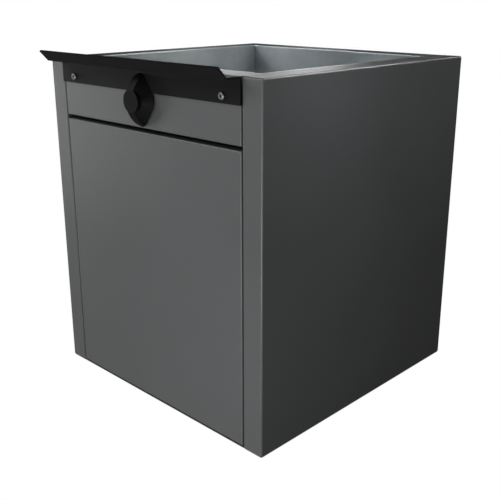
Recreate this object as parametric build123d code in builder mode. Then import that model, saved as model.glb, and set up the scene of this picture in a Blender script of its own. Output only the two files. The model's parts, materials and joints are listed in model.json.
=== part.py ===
from build123d import *
import os

# Parcel drop box body: a folded steel cabinet, open at the top, with a drop-down front door.
# Millimetres.  +X is right, +Y is back, +Z is up; the origin is the centre of the base.

# ---- Driving dimensions ---------------------------------------------------------------------
WIDTH = 400.0            # painted shell, over the side walls
DEPTH = 400.0            # painted shell, front face to back face
HEIGHT = 450.0           # painted shell, base to rim
SHEET = 1.2              # painted steel sheet
BEND = 2.5               # outside radius of the shell's bends
RETURN = 30.0            # width of the posts, the rear returns and the base returns
RIM = 35.0               # width of the painted rim round the mouth
POST_BEND = 1.5          # outside radius of the posts' inner bends

REVEAL = 2.0             # gap at each side of the door and the header
DOOR_GAP = 5.0           # gap between door and header
DOOR_BOTTOM = 3.0        # door's lower edge above the base
DOOR_TOP = 369.6
DOOR_THICK = 20.0        # folded pan, without its inner panel
PANEL_BEND = 1.6         # outside radius of the bends of door and header

LINER = 0.8              # galvanised sheet of the chamber walls
MOUTH = 324.0            # square opening of the collar
COLLAR_BOTTOM = 390.0    # lower edge of the collar's legs
COLLAR_BEND = 1.0        # outside radius of the collar's bends

KNOB_Z = 409.5           # latch axis
KNOB_LENGTH = 65.0
KNOB_WIDTH = 47.0
KNOB_FRONT = 19.3        # front of the knob, from the header's face
BARREL_R = 7.0           # latch housing through the header

PLATE = 2.5              # guard plate sheet
PLATE_WIDTH = 339.0
PLATE_BOTTOM = 419.2
SCREW_X = 141.8          # guard screws, from the centre
SCREW_Z = 427.4

PIVOT_BACK = 6.0         # door pivot axis, behind the door's face
PIVOT_Z = 10.0
BASE_BOLT = 300.0        # spacing of the four base holes, both ways
BASE_HOLE_R = 4.5

# ---- Derived places -------------------------------------------------------------------------
SIDE = WIDTH / 2
FRONT = -DEPTH / 2
BACK = DEPTH / 2
INNER = SIDE - RETURN                    # inner edge of posts, rear and base returns
RIM_INNER = SIDE - RIM                   # inner edge of the painted rim
DOOR_X = INNER - REVEAL                  # door's and header's side edge
HEADER_BOTTOM = DOOR_TOP + DOOR_GAP
POST_DEPTH = 24.0                        # depth of the post's inner flange
FLANGE_BACK = FRONT + POST_DEPTH
DOOR_REAR = FRONT + DOOR_THICK
INNER_PANEL = 1.0                        # sheet of the door's inner panel
PANEL_REAR = DOOR_REAR + INNER_PANEL     # innermost face of the closed door
PIVOT_Y = FRONT + PIVOT_BACK
MOUTH_HALF = MOUTH / 2
SEAM = 0.4                               # clearance between butted sheets
LINER_FRONT = FLANGE_BACK + 0.5          # front edge of the side linings, just behind the posts
LINER_TOP = COLLAR_BOTTOM - 1.0          # just under the collar's legs
PAST = 1.0                               # how far a cut runs past the metal it goes through
SIDES = (("left", -1), ("right", 1))

os.makedirs("parts", exist_ok=True)


def span(side, inner, outer):
    """Lowest and highest x of a stretch between two distances from the centre, on side -1 or 1."""
    return tuple(sorted((side * inner, side * outer)))


def slab(x, y, z, mode=Mode.ADD):
    """Add or cut a plain block, given by its lowest and highest x, y and z."""
    lows, highs = zip(x, y, z)
    middle = tuple((low + high) / 2 for low, high in zip(lows, highs))
    with Locations(middle):
        Box(*(high - low for low, high in zip(lows, highs)), mode=mode)


def rod_x(y, z, x, radius, mode=Mode.ADD):
    """Add or cut a cylinder along X, from x[0] to x[1]."""
    with Locations(((x[0] + x[1]) / 2, y, z)):
        Cylinder(radius, x[1] - x[0], rotation=(0, 90, 0), mode=mode)


def rod_y(x, z, y, radius, mode=Mode.ADD):
    """Add or cut a cylinder along Y, from y[0] to y[1]."""
    with Locations((x, (y[0] + y[1]) / 2, z)):
        Cylinder(radius, y[1] - y[0], rotation=(90, 0, 0), mode=mode)


# ---- Fastener places ------------------------------------------------------------------------
BOLT_R = 2.5                             # M5 shank
BOLT_HOLE_R = 2.75
HEAD_R = 4.5                             # M5 button head
HEAD_H = 2.6
HEAD_CROWN = 1.7                         # rounding of the head's front edge
SOCKET_R = 2.1                           # hexagon socket, centre to corner
SOCKET_DEPTH = 1.6
BOLT_IN = 6.0                            # length of a bolt or pin inside the door's or header's edge
NUT_FLATS = 8.0
NUT_H = 4.0
RIVET_R = 1.6
RIVET_HEAD_R = 3.0
RIVET_HEAD_H = 1.0
RIVET_GRIP = 3.5                         # rivet shank below its head
HEADER_BOLT_Y = FRONT + 12.0
HEADER_BOLT_Z = (396.0, 436.0)
STIFFENER_AT = 100.0                     # channel centres, from the middle of each wall
CHANNEL = 30.0                           # channel width
CHANNEL_SHEET = 1.0
CHANNEL_Z = (20.0, 370.0)
LINING_RIVET_Z = (60.0, 195.0, 330.0)
STOP_R = 1.5
LUG_Y, LUG_Z = PIVOT_Y + 10.0, PIVOT_Z - 3.0
STOP_Z = PIVOT_Z + 10.44                 # the lug meets the stop pin when the door lies flat

# ---- Side panels: pans with a post in front, and returns at the top, back and base ----------
for name, side in SIDES:
    with BuildPart() as side_panel:
        slab(span(side, INNER, SIDE), (FRONT, BACK), (0, HEIGHT))
        outer_face = side_panel.faces().sort_by(Axis.X)[0 if side < 0 else -1]
        fillet(side_panel.edges().filter_by(Axis.X) + outer_face.edges(), BEND)
        inner_edges = side_panel.edges().filter_by(Axis.Z).group_by(Axis.Y)[0]
        fillet(inner_edges.sort_by(Axis.X)[-1 if side < 0 else 0], POST_BEND)
        slab(
            span(side, INNER + SHEET, SIDE - SHEET),
            (FRONT + SHEET, BACK - SHEET),
            (SHEET, HEIGHT - SHEET),
            mode=Mode.SUBTRACT,
        )
        slab(
            span(side, INNER - SHEET, INNER + 2 * SHEET),
            (FLANGE_BACK, BACK - SHEET),
            (SHEET, HEIGHT - SHEET),
            mode=Mode.SUBTRACT,
        )
        slab(
            span(side, RIM_INNER, INNER + SHEET),
            (SEAM - RIM_INNER, RIM_INNER - SEAM),
            (HEIGHT - SHEET, HEIGHT),
        )
        flange = span(side, INNER - SHEET, INNER + 2 * SHEET)
        rod_x(PIVOT_Y, PIVOT_Z, flange, BOLT_R, mode=Mode.SUBTRACT)
        rod_x(PIVOT_Y, STOP_Z, flange, STOP_R, mode=Mode.SUBTRACT)
        for z in HEADER_BOLT_Z:
            rod_x(HEADER_BOLT_Y, z, flange, BOLT_HOLE_R, mode=Mode.SUBTRACT)
    side_panel.part.label = f"{name}_side_panel"
    export_step(side_panel.part, f"parts/{name}_side_panel.step")

# ---- Back panel: recessed between the rear returns, with its own top and base returns -------
with BuildPart() as back_panel:
    middle = INNER - SEAM
    slab((-middle, middle), (INNER, BACK - SHEET), (0, HEIGHT))
    fillet(back_panel.edges().filter_by(Axis.X).group_by(Axis.Y)[-1], BEND)
    slab(
        (-SIDE, SIDE),
        (INNER - SHEET, BACK - 2 * SHEET),
        (SHEET, HEIGHT - SHEET),
        mode=Mode.SUBTRACT,
    )
    wing = SIDE - SHEET - BEND
    slab((-wing, wing), (BACK - 2 * SHEET, BACK - SHEET), (BEND, HEIGHT - BEND))
    slab((-middle, middle), (RIM_INNER, INNER + SHEET), (HEIGHT - SHEET, HEIGHT))
back_panel.part.label = "back_panel"
export_step(back_panel.part, "parts/back_panel.step")

# ---- Floor pan: dished so that its middle is flush with the base returns --------------------
SILL = 16.0
PAN_GAP = 1.0                            # dish to the base returns
PAN_BEND = 1.0                           # outside radius of the pan's and the threshold's edge
WING_GAP = 2.0                           # pan's side wings to the post flanges
with BuildPart() as floor_pan:
    dish = INNER - PAN_GAP
    edge = SIDE - SHEET - BEND
    slab((-dish, dish), (FLANGE_BACK, dish), (0, SHEET))
    slab((-dish, dish), (FLANGE_BACK, FLANGE_BACK + SHEET), (0, SILL))
    fillet(floor_pan.edges().filter_by(Axis.X).group_by(Axis.Z)[0].sort_by(Axis.Y)[0], PAN_BEND)
    slab((-edge, edge), (dish - SHEET, edge), (SHEET, 2 * SHEET))
    for _, side in SIDES:
        slab(span(side, dish - SHEET, edge), (FLANGE_BACK + WING_GAP, edge), (SHEET, 2 * SHEET))
    with Locations((0, 0, SHEET / 2)):
        with GridLocations(BASE_BOLT, BASE_BOLT, 2, 2):
            Cylinder(BASE_HOLE_R, 2 * SHEET, mode=Mode.SUBTRACT)
floor_pan.part.label = "floor_pan"
export_step(floor_pan.part, "parts/floor_pan.step")

with BuildPart() as threshold:
    slab((-INNER, INNER), (FRONT + PAN_GAP, FLANGE_BACK), (0, SHEET))
    fillet(threshold.edges().filter_by(Axis.X).group_by(Axis.Z)[0].sort_by(Axis.Y)[0], PAN_BEND)
threshold.part.label = "threshold"
export_step(threshold.part, "parts/threshold.step")

# ---- Header rail: the strip over the door, with a lip that the closed door sits against -----
HEADER_DEPTH = 22.0
LIP_DROP = 9.5
LIP_IN = 2.0                             # ends of the lip, in from the header's ends
NOTCH = 8.0                              # open end of the gap beside the header, seen from above
with BuildPart() as header_rail:
    header_back = FRONT + HEADER_DEPTH
    slab((-DOOR_X, DOOR_X), (FRONT, header_back), (HEADER_BOTTOM, HEIGHT))
    fillet(header_rail.faces().sort_by(Axis.Y)[0].edges(), PANEL_BEND)
    slab(
        (SHEET - DOOR_X, DOOR_X - SHEET),
        (FRONT + SHEET, header_back + SHEET),
        (HEADER_BOTTOM + SHEET, HEIGHT - SHEET),
        mode=Mode.SUBTRACT,
    )
    slab((SEAM - INNER, INNER - SEAM), (FRONT + NOTCH, -RIM_INNER), (HEIGHT - SHEET, HEIGHT))
    slab(
        (LIP_IN - DOOR_X, DOOR_X - LIP_IN),
        (header_back, header_back + SHEET),
        (HEADER_BOTTOM - LIP_DROP, HEADER_BOTTOM + SHEET),
    )
    rod_y(0, KNOB_Z, (FRONT - PAST, FRONT + 2 * SHEET), BARREL_R, mode=Mode.SUBTRACT)
    for x in (-SCREW_X, SCREW_X):
        rod_y(x, SCREW_Z, (FRONT - PAST, FRONT + 2 * SHEET), BOLT_HOLE_R, mode=Mode.SUBTRACT)
    for z in HEADER_BOLT_Z:
        rod_x(HEADER_BOLT_Y, z, (-SIDE, SIDE), BOLT_HOLE_R, mode=Mode.SUBTRACT)
header_rail.part.label = "header_rail"
export_step(header_rail.part, "parts/header_rail.step")

SPACER_IN = 6.0                          # spacers, in from the header's face and top
SPACER_UP = 10.0                         # and up from its lower edge
with BuildPart() as header_spacers:
    spacer_z = (HEADER_BOTTOM + SPACER_UP, HEIGHT - SPACER_IN)
    for _, side in SIDES:
        slab(span(side, DOOR_X, INNER), (FRONT + SPACER_IN, header_back), spacer_z)
    for z in HEADER_BOLT_Z:
        rod_x(HEADER_BOLT_Y, z, (-SIDE, SIDE), BOLT_HOLE_R, mode=Mode.SUBTRACT)
header_spacers.part.label = "header_spacers"
export_step(header_spacers.part, "parts/header_spacers.step")

with BuildPart() as header_bolts:
    head_x = INNER + SHEET
    for _, side in SIDES:
        for z in HEADER_BOLT_Z:
            rod_x(HEADER_BOLT_Y, z, span(side, DOOR_X - BOLT_IN, head_x), BOLT_R)
            rod_x(HEADER_BOLT_Y, z, span(side, head_x, head_x + HEAD_H), HEAD_R)
    rings = header_bolts.edges().filter_by(GeomType.CIRCLE).group_by(Axis.X)
    fillet(rings[0] + rings[-1], HEAD_CROWN)
header_bolts.part.label = "header_bolts"
export_step(header_bolts.part, "parts/header_bolts.step")

with BuildPart() as header_nuts:
    for _, side in SIDES:
        with BuildSketch(Plane.YZ.offset(side * (DOOR_X - SHEET))):
            with Locations(*((HEADER_BOLT_Y, z) for z in HEADER_BOLT_Z)):
                RegularPolygon(NUT_FLATS / 2, 6, major_radius=False)
                Circle(BOLT_R, mode=Mode.SUBTRACT)
        extrude(amount=-side * NUT_H)
header_nuts.part.label = "header_nuts"
export_step(header_nuts.part, "parts/header_nuts.step")

# ---- Mouth collar: galvanised band level with the rim, legs down into the mouth, and tabs ----
# ---- that lie under the painted returns ------------------------------------------------------
COLLAR_SHEET = 1.2
TAB = 18.0                               # how far a tab reaches under the painted return
SIDE_TAB_END, CROSS_TAB_END = 10.0, 20.0  # tab ends to the inner edges of the returns
with BuildPart() as mouth_collar:
    band = RIM_INNER - SEAM
    full = (-band, band)
    slab(full, full, (COLLAR_BOTTOM, HEIGHT))
    leg = MOUTH_HALF + COLLAR_SHEET
    ring_tool = (COLLAR_BOTTOM - PAST, HEIGHT - COLLAR_SHEET)
    for low, high in ((leg, band + PAST), (-band - PAST, -leg)):
        slab((low, high), (-SIDE, SIDE), ring_tool, mode=Mode.SUBTRACT)
        slab((-SIDE, SIDE), (low, high), ring_tool, mode=Mode.SUBTRACT)
    hole = (-MOUTH_HALF, MOUTH_HALF)
    slab(hole, hole, (COLLAR_BOTTOM - PAST, HEIGHT + PAST), mode=Mode.SUBTRACT)
    top = mouth_collar.faces().filter_by(Axis.Z).sort_by(Axis.Z)[-1]
    fillet(top.inner_wires()[0].edges(), COLLAR_BEND)
    tab_z = (HEIGHT - 2 * COLLAR_SHEET, HEIGHT - COLLAR_SHEET)
    side_tab, cross_tab = INNER - SIDE_TAB_END, INNER - CROSS_TAB_END
    for _, side in SIDES:
        reach = span(side, band - COLLAR_SHEET, INNER + TAB)
        slab(reach, (-side_tab, side_tab), tab_z)
        slab((-cross_tab, cross_tab), reach, tab_z)
mouth_collar.part.label = "mouth_collar"
export_step(mouth_collar.part, "parts/mouth_collar.step")

# ---- Chamber lining --------------------------------------------------------------------------
LINING_GAP = 0.2                         # lining to the sheets that it meets
CAP_Z = (LINER_TOP - LINER, LINER_TOP)   # flat cap between lining and collar
LINER_Z = (2 * SHEET + LINING_GAP, CAP_Z[0])
LAND = 12.0                              # front return of a side lining, behind the door's edge
LAND_Z = 32.0
CAP_EDGE = MOUTH_HALF + SEAM
for name, side in SIDES:
    with BuildPart() as side_lining:
        slab(span(side, INNER, INNER + LINER), (LINER_FRONT, INNER - LINING_GAP), LINER_Z)
        slab(
            span(side, INNER - LAND, INNER + LINER),
            (LINER_FRONT, LINER_FRONT + LINER),
            (LAND_Z, LINER_Z[1]),
        )
        through = span(side, INNER - PAST, INNER + LINER + PAST)
        for y in (-STIFFENER_AT, STIFFENER_AT):
            for z in LINING_RIVET_Z:
                rod_x(y, z, through, RIVET_R, mode=Mode.SUBTRACT)
    side_lining.part.label = f"{name}_side_lining"
    export_step(side_lining.part, f"parts/{name}_side_lining.step")

with BuildPart() as back_lining:
    half = INNER - LINING_GAP
    slab((-half, half), (INNER, INNER + LINER), LINER_Z)
    for x in (-STIFFENER_AT, STIFFENER_AT):
        for z in LINING_RIVET_Z:
            rod_y(x, z, (INNER - PAST, INNER + LINER + PAST), RIVET_R, mode=Mode.SUBTRACT)
back_lining.part.label = "back_lining"
export_step(back_lining.part, "parts/back_lining.step")

with BuildPart() as lining_cap:
    outer = INNER + LINER
    slab((-outer, outer), (CAP_EDGE, outer), CAP_Z)
    for _, side in SIDES:
        slab(span(side, CAP_EDGE, outer), (LINER_FRONT, CAP_EDGE), CAP_Z)
lining_cap.part.label = "lining_cap"
export_step(lining_cap.part, "parts/lining_cap.step")

FLOOR_LINER = 1.0                        # sheet of the chamber's floor
with BuildPart() as floor_lining:
    inside = dish - SHEET - SEAM
    floor_y = (FLANGE_BACK + SHEET + SEAM, inside)
    slab((-inside, inside), floor_y, (SHEET, SHEET + FLOOR_LINER))
    with Locations((0, 0, SHEET)):
        with GridLocations(BASE_BOLT, BASE_BOLT, 2, 2):
            Cylinder(BASE_HOLE_R, 4 * SHEET, mode=Mode.SUBTRACT)
floor_lining.part.label = "floor_lining"
export_step(floor_lining.part, "parts/floor_lining.step")

# ---- Channels between lining and shell -------------------------------------------------------
with BuildPart() as side_stiffeners:
    web_at = INNER + LINER
    web_cut = (INNER, web_at + CHANNEL_SHEET + PAST)
    for _, side in SIDES:
        for y in (-STIFFENER_AT, STIFFENER_AT):
            low, high = y - CHANNEL / 2, y + CHANNEL / 2
            slab(span(side, web_at, SIDE - SHEET), (low, high), CHANNEL_Z)
            slab(
                span(side, web_at + CHANNEL_SHEET, SIDE),
                (low + CHANNEL_SHEET, high - CHANNEL_SHEET),
                (0, HEIGHT),
                mode=Mode.SUBTRACT,
            )
            for z in LINING_RIVET_Z:
                rod_x(y, z, span(side, *web_cut), RIVET_R, mode=Mode.SUBTRACT)
side_stiffeners.part.label = "side_stiffeners"
export_step(side_stiffeners.part, "parts/side_stiffeners.step")

with BuildPart() as back_stiffeners:
    for x in (-STIFFENER_AT, STIFFENER_AT):
        low, high = x - CHANNEL / 2, x + CHANNEL / 2
        slab((low, high), (web_at, BACK - 2 * SHEET), CHANNEL_Z)
        slab(
            (low + CHANNEL_SHEET, high - CHANNEL_SHEET),
            (web_at + CHANNEL_SHEET, BACK),
            (0, HEIGHT),
            mode=Mode.SUBTRACT,
        )
        for z in LINING_RIVET_Z:
            rod_y(x, z, web_cut, RIVET_R, mode=Mode.SUBTRACT)
back_stiffeners.part.label = "back_stiffeners"
export_step(back_stiffeners.part, "parts/back_stiffeners.step")

with BuildPart() as lining_rivets:
    for z in LINING_RIVET_Z:
        for at in (-STIFFENER_AT, STIFFENER_AT):
            rod_y(at, z, (INNER, INNER + RIVET_GRIP), RIVET_R)
            rod_y(at, z, (INNER - RIVET_HEAD_H, INNER), RIVET_HEAD_R)
            for _, side in SIDES:
                rod_x(at, z, span(side, INNER, INNER + RIVET_GRIP), RIVET_R)
                rod_x(at, z, span(side, INNER - RIVET_HEAD_H, INNER), RIVET_HEAD_R)
lining_rivets.part.label = "lining_rivets"
export_step(lining_rivets.part, "parts/lining_rivets.step")

# ---- Guard plate: flat on the header, out into a shelf, then up into the flared lip ----------
SHELF_OUT = 23.1                         # header face to the foot of the lip
LIP_OUT, LIP_UP = 11.6, 12.4             # lip, foot to tip
PLATE_BEND = 2.0                         # bends of the plate, on its middle line
SCREW_IN = 7.0                           # guard screws, behind the header's face
with BuildPart() as guard_plate:
    with BuildSketch(Plane.YZ.offset(-PLATE_WIDTH / 2)):
        with BuildLine():
            half = PLATE / 2
            FilletPolyline(
                (FRONT - half, PLATE_BOTTOM),
                (FRONT - half, HEIGHT - half),
                (FRONT - SHELF_OUT, HEIGHT - half),
                (FRONT - SHELF_OUT - LIP_OUT, HEIGHT - half + LIP_UP),
                radius=PLATE_BEND,
            )
        trace(line_width=PLATE)
    extrude(amount=PLATE_WIDTH)
    for x in (-SCREW_X, SCREW_X):
        rod_y(x, SCREW_Z, (FRONT - 2 * PLATE, FRONT), BOLT_HOLE_R, mode=Mode.SUBTRACT)
guard_plate.part.label = "guard_plate"
export_step(guard_plate.part, "parts/guard_plate.step")

with BuildPart() as guard_screws:
    seat = FRONT - PLATE
    for x in (-SCREW_X, SCREW_X):
        rod_y(x, SCREW_Z, (seat, FRONT + SCREW_IN), BOLT_R)
        rod_y(x, SCREW_Z, (seat - HEAD_H, seat), HEAD_R)
    rims = guard_screws.edges().filter_by(GeomType.CIRCLE).group_by(Axis.Y)[0]
    fillet(rims, HEAD_CROWN)
    with BuildSketch(Plane.XZ.offset(-seat + HEAD_H)):
        with Locations((-SCREW_X, SCREW_Z), (SCREW_X, SCREW_Z)):
            RegularPolygon(SOCKET_R, 6)
    extrude(amount=-SOCKET_DEPTH, mode=Mode.SUBTRACT)
guard_screws.part.label = "guard_screws"
export_step(guard_screws.part, "parts/guard_screws.step")

with BuildPart() as guard_nuts:
    with BuildSketch(Plane.XZ.offset(-FRONT - SHEET)):
        with Locations((-SCREW_X, SCREW_Z), (SCREW_X, SCREW_Z)):
            RegularPolygon(NUT_FLATS / 2, 6, major_radius=False)
            Circle(BOLT_R, mode=Mode.SUBTRACT)
    extrude(amount=-NUT_H)
guard_nuts.part.label = "guard_nuts"
export_step(guard_nuts.part, "parts/guard_nuts.step")

# ---- Latch: housing through the header, spindle, cam and knob --------------------------------
SPINDLE_R = 4.5
RUNNING = 0.05                           # radial clearance of every turning fit
SQUARE = 6.0                             # spindle's square ends
HOUSING_R = 9.4                          # flange of the housing, under the knob
HOUSING_EDGE = 0.8                       # rounding of the flange
HOUSING_FRONT = FRONT - PLATE - 0.2      # flange, just proud of the plate
HOUSING_PLAY = 0.1                       # housing to the friction washer
KNOB_BASE = FRONT - PLATE - 0.5          # knob, just clear of the plate
LATCH_NUT_R, LATCH_NUT_EDGE = 10.0, 0.5  # nut of the housing, centre to flat, and its chamfer
WASHER_R, WASHER = 6.8, 0.6              # friction washer
CAM_Y = (FRONT + 25.5, FRONT + 28.5)
CAM_REACH = 56.0
CAM_ROOT_R, CAM_TIP_R = 9.0, 6.0
CAM_SCREW_R, CAM_SCREW_IN = 2.0, 12.0    # screw through the cam, and how far in it goes
CAM_THREAD = 14.0                        # depth of its thread in the spindle
CAM_WASHER_R, CAM_WASHER = 6.0, 1.0
CAM_HEAD_R, CAM_HEAD_H, CAM_HEAD_CROWN = 3.8, 2.4, 1.2
SHOULDER = FRONT - 7.5                   # where the spindle turns square inside the knob
SPINDLE_FRONT = FRONT - 14.0

with BuildPart() as latch_housing:
    rod_y(0, KNOB_Z, (HOUSING_FRONT, FRONT), HOUSING_R)
    fillet(latch_housing.edges().filter_by(GeomType.CIRCLE).group_by(Axis.Y)[0], HOUSING_EDGE)
    rod_y(0, KNOB_Z, (FRONT, CAM_Y[0] - WASHER - HOUSING_PLAY), BARREL_R)
    bore = (HOUSING_FRONT - PAST, CAM_Y[0])
    rod_y(0, KNOB_Z, bore, SPINDLE_R + RUNNING, mode=Mode.SUBTRACT)
latch_housing.part.label = "latch_housing"
export_step(latch_housing.part, "parts/latch_housing.step")

with BuildPart() as latch_nut:
    with BuildSketch(Plane.XZ.offset(-FRONT - SHEET)):
        with Locations((0, KNOB_Z)):
            RegularPolygon(LATCH_NUT_R, 6, major_radius=False)
            Circle(BARREL_R, mode=Mode.SUBTRACT)
    extrude(amount=-NUT_H)
    chamfer(latch_nut.faces().sort_by(Axis.Y)[-1].outer_wire().edges(), LATCH_NUT_EDGE)
latch_nut.part.label = "latch_nut"
export_step(latch_nut.part, "parts/latch_nut.step")

with BuildPart() as latch_spindle:
    rod_y(0, KNOB_Z, (SHOULDER, CAM_Y[0]), SPINDLE_R)
    half = SQUARE / 2
    slab((-half, half), (SPINDLE_FRONT, SHOULDER), (KNOB_Z - half, KNOB_Z + half))
    slab((-half, half), CAM_Y, (KNOB_Z - half, KNOB_Z + half))
    rod_y(0, KNOB_Z, (CAM_Y[1] - CAM_THREAD, CAM_Y[1]), CAM_SCREW_R, mode=Mode.SUBTRACT)
latch_spindle.part.label = "latch_spindle"
export_step(latch_spindle.part, "parts/latch_spindle.step")

with BuildPart() as friction_washer:
    rod_y(0, KNOB_Z, (CAM_Y[0] - WASHER, CAM_Y[0]), WASHER_R)
    rod_y(0, KNOB_Z, (CAM_Y[0] - PAST, CAM_Y[0] + PAST), SPINDLE_R, mode=Mode.SUBTRACT)
friction_washer.part.label = "friction_washer"
export_step(friction_washer.part, "parts/friction_washer.step")

with BuildPart() as latch_cam:
    with BuildSketch(Plane.XZ.offset(-CAM_Y[0])):
        with Locations((0, KNOB_Z)):
            Circle(CAM_ROOT_R)
        with Locations((CAM_REACH - CAM_TIP_R, KNOB_Z)):
            Circle(CAM_TIP_R)
        make_hull()
        with Locations((0, KNOB_Z)):
            Rectangle(SQUARE, SQUARE, mode=Mode.SUBTRACT)
    extrude(amount=CAM_Y[0] - CAM_Y[1])
latch_cam.part.label = "latch_cam"
export_step(latch_cam.part, "parts/latch_cam.step")

with BuildPart() as cam_washer:
    rod_y(0, KNOB_Z, (CAM_Y[1], CAM_Y[1] + CAM_WASHER), CAM_WASHER_R)
    hole = (CAM_Y[1] - PAST, CAM_Y[1] + CAM_WASHER + PAST)
    rod_y(0, KNOB_Z, hole, CAM_SCREW_R, mode=Mode.SUBTRACT)
cam_washer.part.label = "cam_washer"
export_step(cam_washer.part, "parts/cam_washer.step")

with BuildPart() as cam_screw:
    seat = CAM_Y[1] + CAM_WASHER
    rod_y(0, KNOB_Z, (seat, seat + CAM_HEAD_H), CAM_HEAD_R)
    fillet(cam_screw.edges().filter_by(GeomType.CIRCLE).group_by(Axis.Y)[-1], CAM_HEAD_CROWN)
    rod_y(0, KNOB_Z, (CAM_Y[1] - CAM_SCREW_IN, seat), CAM_SCREW_R)
cam_screw.part.label = "cam_screw"
export_step(cam_screw.part, "parts/cam_screw.step")

# The knob is a wing: a body that slopes in from a lens-shaped foot to a narrow spine, with a round
# grip in the middle, all cut to one arched side profile.
GRIP_R = 14.0
TIP_AT = 21.5                            # centre of each rounded end, from the axis
FOOT_TIP_R = 11.0
SPINE_R, SPINE_TIP_R = 9.0, 4.0
GRIP_FLAT = 13.0                         # half length of the flat front
ARCH_AT, ARCH_OUT = 23.0, 13.2           # a point on the arch: along the knob, and out
with BuildPart() as knob:
    knob_front = FRONT - KNOB_FRONT
    half_length = KNOB_LENGTH / 2
    for y, middle_r, end_r in (
        (KNOB_BASE, KNOB_WIDTH / 2, FOOT_TIP_R),
        (knob_front, SPINE_R, SPINE_TIP_R),
    ):
        with BuildSketch(Plane.XZ.offset(-y)):
            with Locations((0, KNOB_Z)):
                Circle(middle_r)
            with Locations((0, KNOB_Z - TIP_AT), (0, KNOB_Z + TIP_AT)):
                Circle(end_r)
            make_hull()
    loft(ruled=True)
    rod_y(0, KNOB_Z, (knob_front, KNOB_BASE), GRIP_R)
    with BuildSketch(Plane.YZ):
        with BuildLine():
            Line((KNOB_BASE, KNOB_Z - half_length), (KNOB_BASE, KNOB_Z + half_length))
            for end in (-1, 1):
                ThreePointArc(
                    (KNOB_BASE, KNOB_Z + end * half_length),
                    (FRONT - ARCH_OUT, KNOB_Z + end * ARCH_AT),
                    (knob_front, KNOB_Z + end * GRIP_FLAT),
                )
            Line((knob_front, KNOB_Z - GRIP_FLAT), (knob_front, KNOB_Z + GRIP_FLAT))
        make_face()
    extrude(amount=KNOB_WIDTH, both=True, mode=Mode.INTERSECT)
    rod_y(0, KNOB_Z, (SHOULDER, KNOB_BASE + PAST), SPINDLE_R, mode=Mode.SUBTRACT)
    half = SQUARE / 2
    slab(
        (-half, half),
        (SPINDLE_FRONT, SHOULDER),
        (KNOB_Z - half, KNOB_Z + half),
        mode=Mode.SUBTRACT,
    )
knob.part.label = "knob"
export_step(knob.part, "parts/knob.step")

# ---- Door: folded pan with inward returns, closed by an inner panel --------------------------
DOOR_RETURN = 16.0
BUSH_R = 3.6
RIVET_IN = 10.5                          # rivet row, in from the door's side edges
EDGE_RIVET_Z = (40.0, 140.0, 240.0, 340.0)
CROSS_RIVET_X, CROSS_RIVET_Z = (-100.0, 0.0, 100.0), (12.5, 359.5)
door_rivet_places = [(side * (DOOR_X - RIVET_IN), z) for _, side in SIDES for z in EDGE_RIVET_Z]
door_rivet_places += [(x, z) for x in CROSS_RIVET_X for z in CROSS_RIVET_Z]
with BuildPart() as door_panel:
    slab((-DOOR_X, DOOR_X), (FRONT, DOOR_REAR), (DOOR_BOTTOM, DOOR_TOP))
    fillet(door_panel.faces().sort_by(Axis.Y)[0].edges(), PANEL_BEND)
    inside = DOOR_X - SHEET
    slab(
        (-inside, inside),
        (FRONT + SHEET, DOOR_REAR - SHEET),
        (DOOR_BOTTOM + SHEET, DOOR_TOP - SHEET),
        mode=Mode.SUBTRACT,
    )
    window = inside - DOOR_RETURN
    slab(
        (-window, window),
        (DOOR_REAR - 2 * SHEET, DOOR_REAR + SHEET),
        (DOOR_BOTTOM + SHEET + DOOR_RETURN, DOOR_TOP - SHEET - DOOR_RETURN),
        mode=Mode.SUBTRACT,
    )
    for _, side in SIDES:
        wall = span(side, DOOR_X - 2 * SHEET, DOOR_X + SHEET)
        rod_x(PIVOT_Y, PIVOT_Z, wall, BUSH_R, mode=Mode.SUBTRACT)
        rod_x(LUG_Y, LUG_Z, wall, STOP_R, mode=Mode.SUBTRACT)
    for x, z in door_rivet_places:
        rod_y(x, z, (DOOR_REAR - 2 * SHEET, DOOR_REAR + PAST), RIVET_R, mode=Mode.SUBTRACT)
door_panel.part.label = "door_panel"
export_step(door_panel.part, "parts/door_panel.step")

PANEL_IN = 3.0                           # inner panel's edges, in from the door's
PANEL_X = DOOR_X - PANEL_IN
PANEL_Z = (DOOR_BOTTOM + PANEL_IN, DOOR_TOP - PANEL_IN)
CATCH_SHEET = 1.5
CATCH_BEND = 1.5                         # on the sheet's middle line
CATCH_X = 20.0                           # half width
CATCH_Z = (328.5, 348.0, 363.0)          # foot of the base, top of the web, tip of the hook
catch_rivet_places = [(-12.0, 335.5), (12.0, 335.5)]

with BuildPart() as door_inner_panel:
    slab((-PANEL_X, PANEL_X), (DOOR_REAR, PANEL_REAR), PANEL_Z)
    for x, z in door_rivet_places + catch_rivet_places:
        rod_y(x, z, (DOOR_REAR - PAST, PANEL_REAR + PAST), RIVET_R, mode=Mode.SUBTRACT)
door_inner_panel.part.label = "door_inner_panel"
export_step(door_inner_panel.part, "parts/door_inner_panel.step")

with BuildPart() as door_rivets:
    for x, z in door_rivet_places:
        rod_y(x, z, (PANEL_REAR - RIVET_GRIP, PANEL_REAR), RIVET_R)
        rod_y(x, z, (PANEL_REAR, PANEL_REAR + RIVET_HEAD_H), RIVET_HEAD_R)
door_rivets.part.label = "door_rivets"
export_step(door_rivets.part, "parts/door_rivets.step")

DOOR_CHANNEL_Z = (25.0, 325.0)
with BuildPart() as door_stiffener:
    low, high = -CHANNEL / 2, CHANNEL / 2
    slab((low, high), (FRONT + SHEET, DOOR_REAR), DOOR_CHANNEL_Z)
    slab(
        (low + CHANNEL_SHEET, high - CHANNEL_SHEET),
        (FRONT + SHEET + CHANNEL_SHEET, DOOR_REAR + PAST),
        (0, HEIGHT),
        mode=Mode.SUBTRACT,
    )
door_stiffener.part.label = "door_stiffener"
export_step(door_stiffener.part, "parts/door_stiffener.step")

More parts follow.
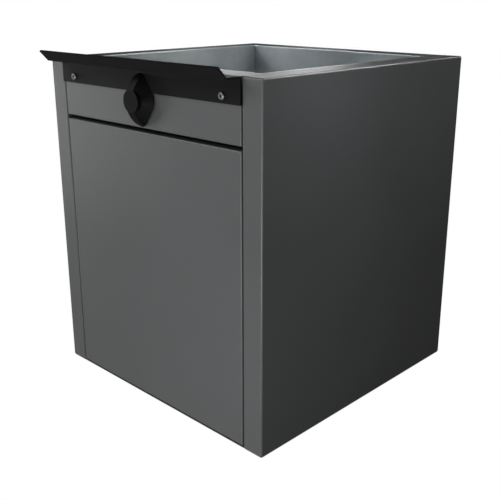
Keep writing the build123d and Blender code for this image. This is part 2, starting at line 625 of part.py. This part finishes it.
# The catch stands behind the door, and its hook stands behind the cam when the knob is turned.
HOOK_GAP = 0.5
with BuildPart() as door_catch:
    with BuildSketch(Plane.YZ.offset(-CATCH_X)):
        with BuildLine():
            half = CATCH_SHEET / 2
            FilletPolyline(
                (PANEL_REAR + half, CATCH_Z[0]),
                (PANEL_REAR + half, CATCH_Z[1] - half),
                (CAM_Y[1] + HOOK_GAP + half, CATCH_Z[1] - half),
                (CAM_Y[1] + HOOK_GAP + half, CATCH_Z[2]),
                radius=CATCH_BEND,
            )
        trace(line_width=CATCH_SHEET)
    extrude(amount=2 * CATCH_X)
    for x, z in catch_rivet_places:
        rod_y(x, z, (PANEL_REAR - PAST, PANEL_REAR + 2 * CATCH_SHEET), RIVET_R, mode=Mode.SUBTRACT)
door_catch.part.label = "door_catch"
export_step(door_catch.part, "parts/door_catch.step")

with BuildPart() as catch_rivets:
    seat = PANEL_REAR + CATCH_SHEET
    for x, z in catch_rivet_places:
        rod_y(x, z, (seat - RIVET_GRIP, seat), RIVET_R)
        rod_y(x, z, (seat, seat + RIVET_HEAD_H), RIVET_HEAD_R)
catch_rivets.part.label = "catch_rivets"
export_step(catch_rivets.part, "parts/catch_rivets.step")

# ---- Door pivots, swing stops and seals ------------------------------------------------------
BUSH_FLANGE_R, BUSH_FLANGE = 5.4, 0.8
BUSH_IN = 3.0                            # length inside the door's edge
PIN_HEAD = 2.0
STOP_CLEAR, STOP_TAIL = 0.6, 1.0         # stop pin to the door's edge, and behind the post flange
LUG_OUT = 1.4                            # lug beyond the door's edge
with BuildPart() as pivot_bushes:
    for _, side in SIDES:
        rod_x(PIVOT_Y, PIVOT_Z, span(side, DOOR_X - BUSH_IN, DOOR_X), BUSH_R)
        rod_x(PIVOT_Y, PIVOT_Z, span(side, DOOR_X, DOOR_X + BUSH_FLANGE), BUSH_FLANGE_R)
        bore = span(side, DOOR_X - BUSH_IN - PAST, INNER)
        rod_x(PIVOT_Y, PIVOT_Z, bore, BOLT_R + RUNNING, mode=Mode.SUBTRACT)
pivot_bushes.part.label = "pivot_bushes"
export_step(pivot_bushes.part, "parts/pivot_bushes.step")

with BuildPart() as pivot_pins:
    for _, side in SIDES:
        rod_x(PIVOT_Y, PIVOT_Z, span(side, DOOR_X - BOLT_IN, INNER + SHEET), BOLT_R)
        rod_x(PIVOT_Y, PIVOT_Z, span(side, INNER + SHEET, INNER + SHEET + PIN_HEAD), HEAD_R)
pivot_pins.part.label = "pivot_pins"
export_step(pivot_pins.part, "parts/pivot_pins.step")

with BuildPart() as door_stop_pins:
    for _, side in SIDES:
        pin_x = span(side, DOOR_X + STOP_CLEAR, INNER + SHEET + STOP_TAIL)
        rod_x(PIVOT_Y, STOP_Z, pin_x, STOP_R)
door_stop_pins.part.label = "door_stop_pins"
export_step(door_stop_pins.part, "parts/door_stop_pins.step")

with BuildPart() as door_stop_lugs:
    for _, side in SIDES:
        rod_x(LUG_Y, LUG_Z, span(side, DOOR_X - 2 * SHEET, DOOR_X + LUG_OUT), STOP_R)
door_stop_lugs.part.label = "door_stop_lugs"
export_step(door_stop_lugs.part, "parts/door_stop_lugs.step")

SEAL_CLEAR = 0.2                         # seal face to the closed door
SEAL_WIDTH = 5.5
SEAL_EDGE = 1.5                          # rounding of the face
SEAL_Z = (LAND_Z + 2.0, LINER_TOP - 30.0)
STRIP = 1.4                              # strip along the header's lip, behind the gap over the door
STRIP_CLEAR = 0.6                        # strip to the door's top edge
with BuildPart() as door_seals:
    for _, side in SIDES:
        seal_x = span(side, INNER - REVEAL - SEAL_WIDTH, INNER - REVEAL)
        slab(seal_x, (PANEL_REAR + SEAL_CLEAR, LINER_FRONT), SEAL_Z)
    fillet(door_seals.edges().filter_by(Axis.Z).group_by(Axis.Y)[0], SEAL_EDGE)
    slab(
        (LIP_IN - DOOR_X, DOOR_X - LIP_IN),
        (header_back - STRIP, header_back),
        (DOOR_TOP + STRIP_CLEAR, HEADER_BOTTOM),
    )
door_seals.part.label = "door_seals"
export_step(door_seals.part, "parts/door_seals.step")
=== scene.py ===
import json
import math

import bpy
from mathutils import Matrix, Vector

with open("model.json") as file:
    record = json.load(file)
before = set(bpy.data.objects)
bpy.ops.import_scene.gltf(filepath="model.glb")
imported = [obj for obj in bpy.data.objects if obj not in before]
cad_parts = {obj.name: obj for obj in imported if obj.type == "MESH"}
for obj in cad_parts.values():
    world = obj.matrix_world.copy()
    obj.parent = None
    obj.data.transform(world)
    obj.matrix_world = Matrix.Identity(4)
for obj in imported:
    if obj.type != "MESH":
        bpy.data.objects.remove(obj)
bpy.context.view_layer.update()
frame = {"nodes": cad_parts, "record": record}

# ---------------------------------------------------------------- camera
CAMERA_AT = (0.7424, -0.7723, 0.5341)
CAMERA_YAW = math.radians(44.218)        # turned left from +Y
CAMERA_DIP = math.radians(17.542)        # looking down from the horizon
LENS, SENSOR = 54.76, 36.0               # in millimetres
SHIFT = (-0.0055, -0.0349)               # the object sits a little right of and above the middle


def make_camera():
    camera = bpy.data.cameras.new("camera")
    camera.lens, camera.sensor_width = LENS, SENSOR
    camera.shift_x, camera.shift_y = SHIFT
    obj = bpy.data.objects.new("camera", camera)
    bpy.context.collection.objects.link(obj)
    obj.location = CAMERA_AT
    obj.rotation_euler = (math.pi / 2 - CAMERA_DIP, 0, CAMERA_YAW)
    bpy.context.scene.camera = obj


# ---------------------------------------------------------------- shader helpers
WHITE = (1, 1, 1)


def new_tree(owner):
    """Gives a material or world a node tree, and returns the tree."""
    owner.use_nodes = True
    return owner.node_tree


def node(tree, kind, **values):
    """Adds a shader node. Values name attributes, or inputs with their spaces as underscores."""
    made = tree.nodes.new(kind)
    for key, value in values.items():
        if hasattr(made, key):
            setattr(made, key, value)
        else:
            made.inputs[key.replace("_", " ")].default_value = value
    return made


def link(tree, source, output, target, socket):
    tree.links.new(source.outputs[output], target.inputs[socket])


def shade(value, colour=WHITE):
    return tuple(value * part for part in colour)


def ramp(tree, source, output, stops, colours):
    """A colour ramp fed by source, which has each colour at its stop."""
    made = node(tree, "ShaderNodeValToRGB")
    elements = made.color_ramp.elements
    while len(elements) < len(stops):
        elements.new(0.5)
    for element, stop, colour in zip(elements, stops, colours):
        element.position = stop
        element.color = (*colour, 1)
    link(tree, source, output, made, "Fac")
    return made


def noise(tree, coords, look):
    made = node(tree, "ShaderNodeTexNoise", **look)
    link(tree, coords, "Object", made, "Vector")
    return made


def bump(tree, source, output, strength, height):
    made = node(tree, "ShaderNodeBump", Strength=strength, Distance=height)
    link(tree, source, output, made, "Height")
    return made


def soft_step(tree, source, output, edges, values):
    """Goes from the first value to the second while the source goes from edge to edge."""
    made = node(
        tree, "ShaderNodeMapRange", interpolation_type="SMOOTHSTEP",
        From_Min=edges[0], From_Max=edges[1], To_Min=values[0], To_Max=values[1],
    )
    link(tree, source, output, made, "Value")
    return made


# ---------------------------------------------------------------- materials
# A texture's scale is in cells per metre, and a bump's height is in metres. Stops are the values of
# a texture at which a tone or roughness has its listed values.
MIDDLE = (0.3, 0.7)                      # where most of a noise texture lies

COAT_DRIFT = {"Scale": 5.0, "Detail": 4.0, "Roughness": 0.55}
COAT_TONES = (0.94, 1.06)                # times the colour
COAT_GLOSS_STOPS = (0.25, 0.75)
COAT_GLOSS = (-0.03, 0.04)               # added to the roughness
COAT_GRAIN = {"Scale": 1400.0, "Detail": 2.0, "Roughness": 0.6}
COAT_PEEL = {"Scale": 260.0, "Detail": 2.0, "Roughness": 0.5}
PEEL_HEIGHT = 0.00005

SPANGLE = {"Scale": 75.0, "Randomness": 1.0}
SPANGLE_WOBBLE = {"Scale": 60.0, "Detail": 3.0}
WOBBLE_SHARE = 0.012                     # how far the wobble bends the spangles' edges
SPANGLE_SHARE = 0.12                     # how much the spangles add to the cloudiness
GALVANISED_CLOUD = {"Scale": 9.0, "Detail": 5.0, "Roughness": 0.6}
GALVANISED_STOPS = (0.35, 0.55, 0.80)
GALVANISED_TONES = ((0.39, 0.425, 0.44), (0.445, 0.485, 0.50), (0.515, 0.555, 0.57))
GALVANISED_GLOSS_STOPS = (0.35, 0.95)
GALVANISED_GLOSS = (0.30, 0.46)
GALVANISED_METAL = 0.7                   # dulled by its oxide skin
GALVANISED_RELIEF = (0.25, 0.0001)       # strength and height

MOULD_GRAIN = {"Scale": 1800.0, "Detail": 2.0, "Roughness": 0.6}
MOULD_GRAIN_STRENGTH = 0.6
MOULD_DRIFT = {"Scale": 70.0, "Detail": 3.0}
MOULD_TONES = (0.85, 1.15)               # times the colour
MOULD_GLOSS = (-0.05, 0.05)              # added to the roughness

ZINC_MARKS = {"Scale": 900.0, "Detail": 4.0, "Roughness": 0.7}
ZINC_TONES = ((0.15, 0.155, 0.16), (0.24, 0.245, 0.25))
ZINC_GLOSS = (0.36, 0.48)
ZINC_RELIEF = (0.3, 0.00005)


def new_material(name, **values):
    """A material with a Principled shader and its object coordinates. Values are as for node()."""
    material = bpy.data.materials.new(name)
    tree = new_tree(material)
    shader = tree.nodes["Principled BSDF"]
    for key, value in values.items():
        shader.inputs[key.replace("_", " ")].default_value = value
    return material, tree, shader, node(tree, "ShaderNodeTexCoord")


def powder_coat(name, colour, roughness, shine, grain):
    """Baked powder coat: fine grain, a little orange peel, and slow drifts of tone and gloss."""
    material, tree, shader, coords = new_material(name, Specular_IOR_Level=shine)
    drift = noise(tree, coords, COAT_DRIFT)
    tones = [shade(part, colour) for part in COAT_TONES]
    link(tree, ramp(tree, drift, "Fac", MIDDLE, tones), "Color", shader, "Base Color")
    gloss = [shade(roughness + part) for part in COAT_GLOSS]
    link(tree, ramp(tree, drift, "Fac", COAT_GLOSS_STOPS, gloss), "Color", shader, "Roughness")
    peel = bump(tree, noise(tree, coords, COAT_PEEL), "Fac", 1.0, PEEL_HEIGHT)
    fine = bump(tree, noise(tree, coords, COAT_GRAIN), "Fac", 1.0, grain)
    link(tree, peel, "Normal", fine, "Normal")
    link(tree, fine, "Normal", shader, "Normal")
    return material


def galvanised(name):
    """Hot-dip zinc: spangle cells of slightly different tone and gloss over a soft cloudiness."""
    material, tree, shader, coords = new_material(name, Metallic=GALVANISED_METAL)
    wobble = noise(tree, coords, SPANGLE_WOBBLE)
    bent = node(tree, "ShaderNodeMixRGB", blend_type="LINEAR_LIGHT", Fac=WOBBLE_SHARE)
    link(tree, coords, "Object", bent, "Color1")
    link(tree, wobble, "Color", bent, "Color2")
    cells = node(tree, "ShaderNodeTexVoronoi", **SPANGLE)
    link(tree, bent, "Color", cells, "Vector")
    spangle = node(tree, "ShaderNodeSeparateColor")
    link(tree, cells, "Color", spangle, "Color")
    cloud = noise(tree, coords, GALVANISED_CLOUD)
    mix = node(tree, "ShaderNodeMath", operation="MULTIPLY_ADD")
    link(tree, spangle, "Red", mix, 0)
    mix.inputs[1].default_value = SPANGLE_SHARE
    link(tree, cloud, "Fac", mix, 2)
    tone = ramp(tree, mix, "Value", GALVANISED_STOPS, GALVANISED_TONES)
    link(tree, tone, "Color", shader, "Base Color")
    gloss = ramp(tree, mix, "Value", GALVANISED_GLOSS_STOPS, map(shade, GALVANISED_GLOSS))
    link(tree, gloss, "Color", shader, "Roughness")
    link(tree, bump(tree, mix, "Value", *GALVANISED_RELIEF), "Normal", shader, "Normal")
    return material


def moulded(name, colour, roughness, shine, grain):
    """Injection-moulded plastic or rubber with a spark-eroded grain."""
    material, tree, shader, coords = new_material(name, Specular_IOR_Level=shine)
    drift = noise(tree, coords, MOULD_DRIFT)
    tones = [shade(part, colour) for part in MOULD_TONES]
    link(tree, ramp(tree, drift, "Fac", MIDDLE, tones), "Color", shader, "Base Color")
    gloss = [shade(roughness + part) for part in MOULD_GLOSS]
    link(tree, ramp(tree, drift, "Fac", MIDDLE, gloss), "Color", shader, "Roughness")
    fine = bump(tree, noise(tree, coords, MOULD_GRAIN), "Fac", MOULD_GRAIN_STRENGTH, grain)
    link(tree, fine, "Normal", shader, "Normal")
    return material


def zinc_plate(name):
    """Dull zinc-plated steel with fine turning marks and a faint blue passivation."""
    material, tree, shader, coords = new_material(name, Metallic=1.0)
    marks = noise(tree, coords, ZINC_MARKS)
    link(tree, ramp(tree, marks, "Fac", MIDDLE, ZINC_TONES), "Color", shader, "Base Color")
    gloss = ramp(tree, marks, "Fac", MIDDLE, map(shade, ZINC_GLOSS))
    link(tree, gloss, "Color", shader, "Roughness")
    link(tree, bump(tree, marks, "Fac", *ZINC_RELIEF), "Normal", shader, "Normal")
    return material


MATERIALS = {
    # colour, roughness, shine, height of the grain
    "shell_paint": powder_coat("shell_paint", (0.060, 0.0615, 0.063), 0.42, 0.5, 0.00006),
    "guard_paint": powder_coat("guard_paint", (0.0048, 0.0049, 0.0050), 0.55, 0.08, 0.00009),
    "knob_plastic": moulded("knob_plastic", (0.0036, 0.0036, 0.0038), 0.55, 0.06, 0.00004),
    "bush_nylon": moulded("bush_nylon", (0.012, 0.012, 0.012), 0.45, 0.4, 0.00002),
    "seal_rubber": moulded("seal_rubber", (0.012, 0.012, 0.012), 0.8, 0.3, 0.0001),
    "galvanised": galvanised("galvanised"),
    "zinc_steel": zinc_plate("zinc_steel"),
}


def dress_frame():
    """Gives every CAD node the material of its slot in the record."""
    for entry in frame["record"]["subparts"]:
        mesh = frame["nodes"][entry["node"]].data
        mesh.materials.clear()
        mesh.materials.append(MATERIALS[entry["material_slot"]])


# ---------------------------------------------------------------- stage and light
FLOOR_SIZE = 30.0
FLOOR_GLOW = 1.0             # the sweep is lit to white from below, as in a packshot studio
PAINTED_SHADOW_REACH = 0.001              # how far the painted contact shadow, a dark line under the object's edges, reaches
PAINTED_SHADOW_GLOW = 0.05          # and how bright that painted shadow is
PAINTED_SHADOW_STOPS = (0.10, 0.60)
BOUNCE = 0.43                # light that comes back up from the pale floor in front
BACK_BOUNCE = 0.03           # and from the floor behind
BOUNCE_EDGES = (-0.08, 0.08)     # where the one turns into the other
HORIZON = (-0.03, 0.0)           # where the floor ends and the dark room starts
AIM = (0, 0, 0.25)           # the middle of the object
CORNER = (0.2, -0.2, 0.2)    # its front right edge
# Each softbox: name, place, target, side in metres, power in watts, spread in degrees.
SOFTBOXES = (
    ("front", (-0.40, -2.34, 0.58), AIM, 1.2, 3.0, 180),
    ("front_low", (0.0, -2.20, 0.20), AIM, 0.8, 4.3, 180),
    ("front_left", (-1.45, -1.50, 1.50), AIM, 0.7, 24.0, 180),
    ("front_right", (2.06, -1.19, 0.58), AIM, 1.2, 4.0, 180),
    ("right_top", (0.60, -0.15, 0.75), (0.2, -0.12, 0.45), 0.1, 0.055, 36),
    ("over_back", (0.60, 0.90, 1.40), AIM, 0.6, 9.0, 180),
    ("edge_back", (0.60, 0.90, 1.40), (0.2, 0.02, 0.44), 0.15, 0.38, 28),
    ("left_card", (-1.90, -0.35, 0.30), AIM, 0.4, 3.7, 180),
    ("low_card", (-1.70, -0.90, 0.10), AIM, 0.5, 2.1, 180),
    ("floor_card", (0.40, -0.90, 0.04), CORNER, 0.3, 4.2, 180),
    ("well_left", (-0.90, -0.75, 1.20), (-0.15, 0.162, 0.39), 0.12, 0.040, 8),
    ("well_right", (0.60, -0.35, 1.30), (-0.162, 0.03, 0.40), 0.12, 0.16, 14),
    ("rim_a", (-0.49, 0.41, 0.68), (0.12, -0.182, 0.45), 0.12, 0.0032, 16),
    ("rim_b", (-0.42, 0.50, 0.68), (0.182, -0.12, 0.45), 0.12, 0.0010, 16),
    ("rim_c", (-0.40, 0.60, 0.67), (0.182, -0.08, 0.45), 0.12, 0.0036, 16),
)


def make_floor():
    """A glowing white floor that only the camera sees, with a painted contact shadow: a dark line
    where the object stands.
    """
    bpy.ops.mesh.primitive_plane_add(size=FLOOR_SIZE, location=(0, 0, 0))
    floor = bpy.context.object
    floor.name = "floor"
    material = bpy.data.materials.new("floor")
    tree = new_tree(material)
    tree.nodes.clear()
    # Painted shadow: the floor's glow is darkened wherever ambient occlusion finds the object close
    # by.
    painted_shadow = node(tree, "ShaderNodeAmbientOcclusion", Distance=PAINTED_SHADOW_REACH)
    glows = map(shade, (PAINTED_SHADOW_GLOW, FLOOR_GLOW))
    glow = node(tree, "ShaderNodeEmission")
    link(tree, ramp(tree, painted_shadow, "Color", PAINTED_SHADOW_STOPS, glows), "Color", glow, "Color")
    link(tree, glow, "Emission", node(tree, "ShaderNodeOutputMaterial"), "Surface")
    floor.data.materials.append(material)
    floor.visible_diffuse = floor.visible_glossy = floor.visible_shadow = False


def softbox(name, at, target, side, power, spread):
    """A square area light that the camera doesn't see."""
    light = bpy.data.lights.new(name, "AREA")
    light.size, light.energy, light.spread = side, power, math.radians(spread)
    obj = bpy.data.objects.new(name, light)
    bpy.context.collection.objects.link(obj)
    obj.location = at
    obj.rotation_euler = (Vector(target) - Vector(at)).to_track_quat("-Z", "Y").to_euler()
    obj.visible_camera = False


def make_world():
    """White behind the object. For light and mirrors: a pale floor, brighter in front, and a dark
    room."""
    world = bpy.data.worlds.new("world")
    bpy.context.scene.world = world
    tree = new_tree(world)
    tree.nodes.clear()
    axes = node(tree, "ShaderNodeSeparateXYZ")
    link(tree, node(tree, "ShaderNodeTexCoord"), "Generated", axes, "Vector")
    floor = soft_step(tree, axes, "Y", BOUNCE_EDGES, (BOUNCE, BACK_BOUNCE))
    below = soft_step(tree, axes, "Z", HORIZON, (1.0, 0.0))
    strength = node(tree, "ShaderNodeMath", operation="MULTIPLY")
    link(tree, floor, "Result", strength, 0)
    link(tree, below, "Result", strength, 1)
    room = node(tree, "ShaderNodeBackground", Color=(*WHITE, 1))
    link(tree, strength, "Value", room, "Strength")
    seen = node(tree, "ShaderNodeBackground", Color=(*WHITE, 1), Strength=1.0)
    mix = node(tree, "ShaderNodeMixShader")
    link(tree, node(tree, "ShaderNodeLightPath"), "Is Camera Ray", mix, "Fac")
    link(tree, room, "Background", mix, 1)
    link(tree, seen, "Background", mix, 2)
    link(tree, mix, "Shader", node(tree, "ShaderNodeOutputWorld"), "Surface")


make_camera()
dress_frame()
make_floor()
make_world()
for box in SOFTBOXES:
    softbox(*box)
bpy.context.scene.view_settings.view_transform = "Standard"
